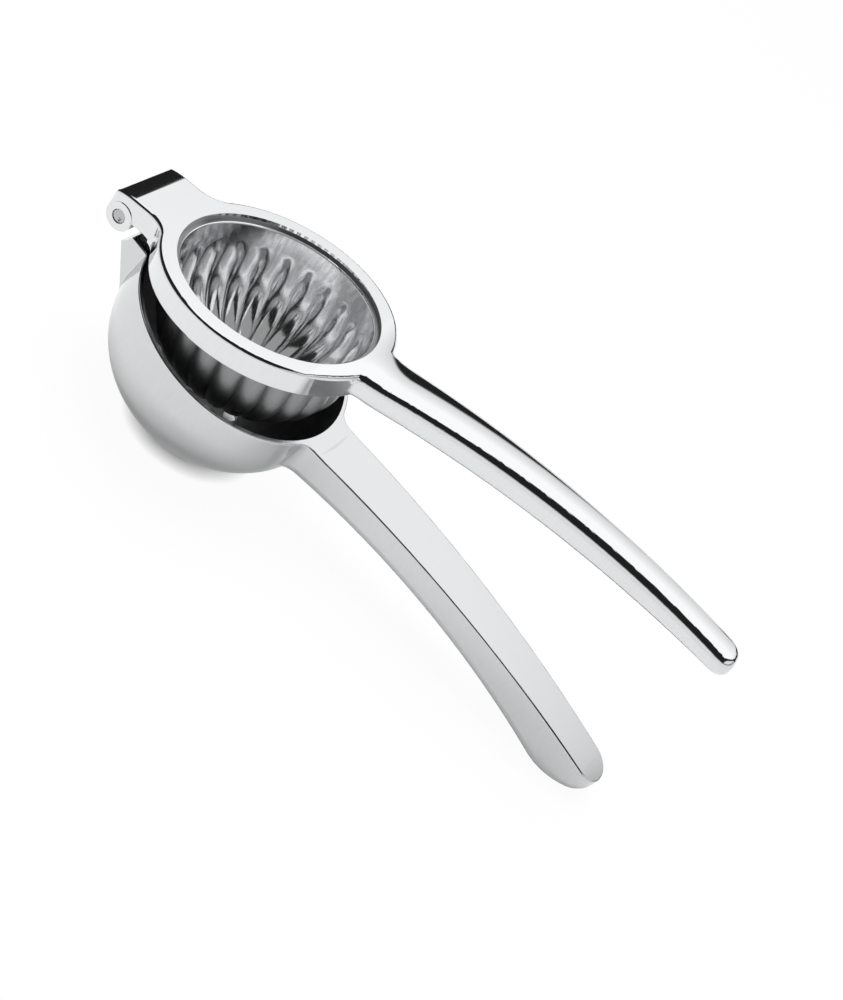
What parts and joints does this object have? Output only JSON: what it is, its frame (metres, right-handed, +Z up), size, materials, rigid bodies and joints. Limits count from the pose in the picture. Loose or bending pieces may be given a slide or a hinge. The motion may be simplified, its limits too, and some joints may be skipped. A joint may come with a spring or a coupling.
{
  "type": "hinged lemon squeezer",
  "caption": "Hand-held hinged citrus squeezer: a bowl with a handle, and a ring with a fluted press cup and handle, joined by a rivet.",
  "frame": {"origin": "middle of the small flat foot under the bowl, on the table that the squeezer rests on", "axes": "+Z up from the table, +X from the bowl to the ends of the handles, +Y along the rivet"},
  "size_m": [0.2051, 0.0704, 0.0708],
  "materials": {
    "polished_casting": "polished cast metal with a bright plated skin",
    "mirror_casting": "mirror-polished cast metal with a bright plated skin",
    "pressed_steel": "bright pressed stainless sheet",
    "rivet_steel": "turned and set steel rivet"
  },
  "bodies": {
    "lower": {"lower_arm": "polished_casting"},
    "upper": {"upper_arm": "mirror_casting", "press_cup": "pressed_steel", "hinge_pin": "rivet_steel"}
  },
  "joints": [
    {"name": "arm_hinge", "type": "hinge", "parent": "lower", "child": "upper", "pos_m": [-0.04532, 0, 0.04656], "axis": [0, -1, 0], "range_deg": [-15.2, 164.8]}
  ]
}
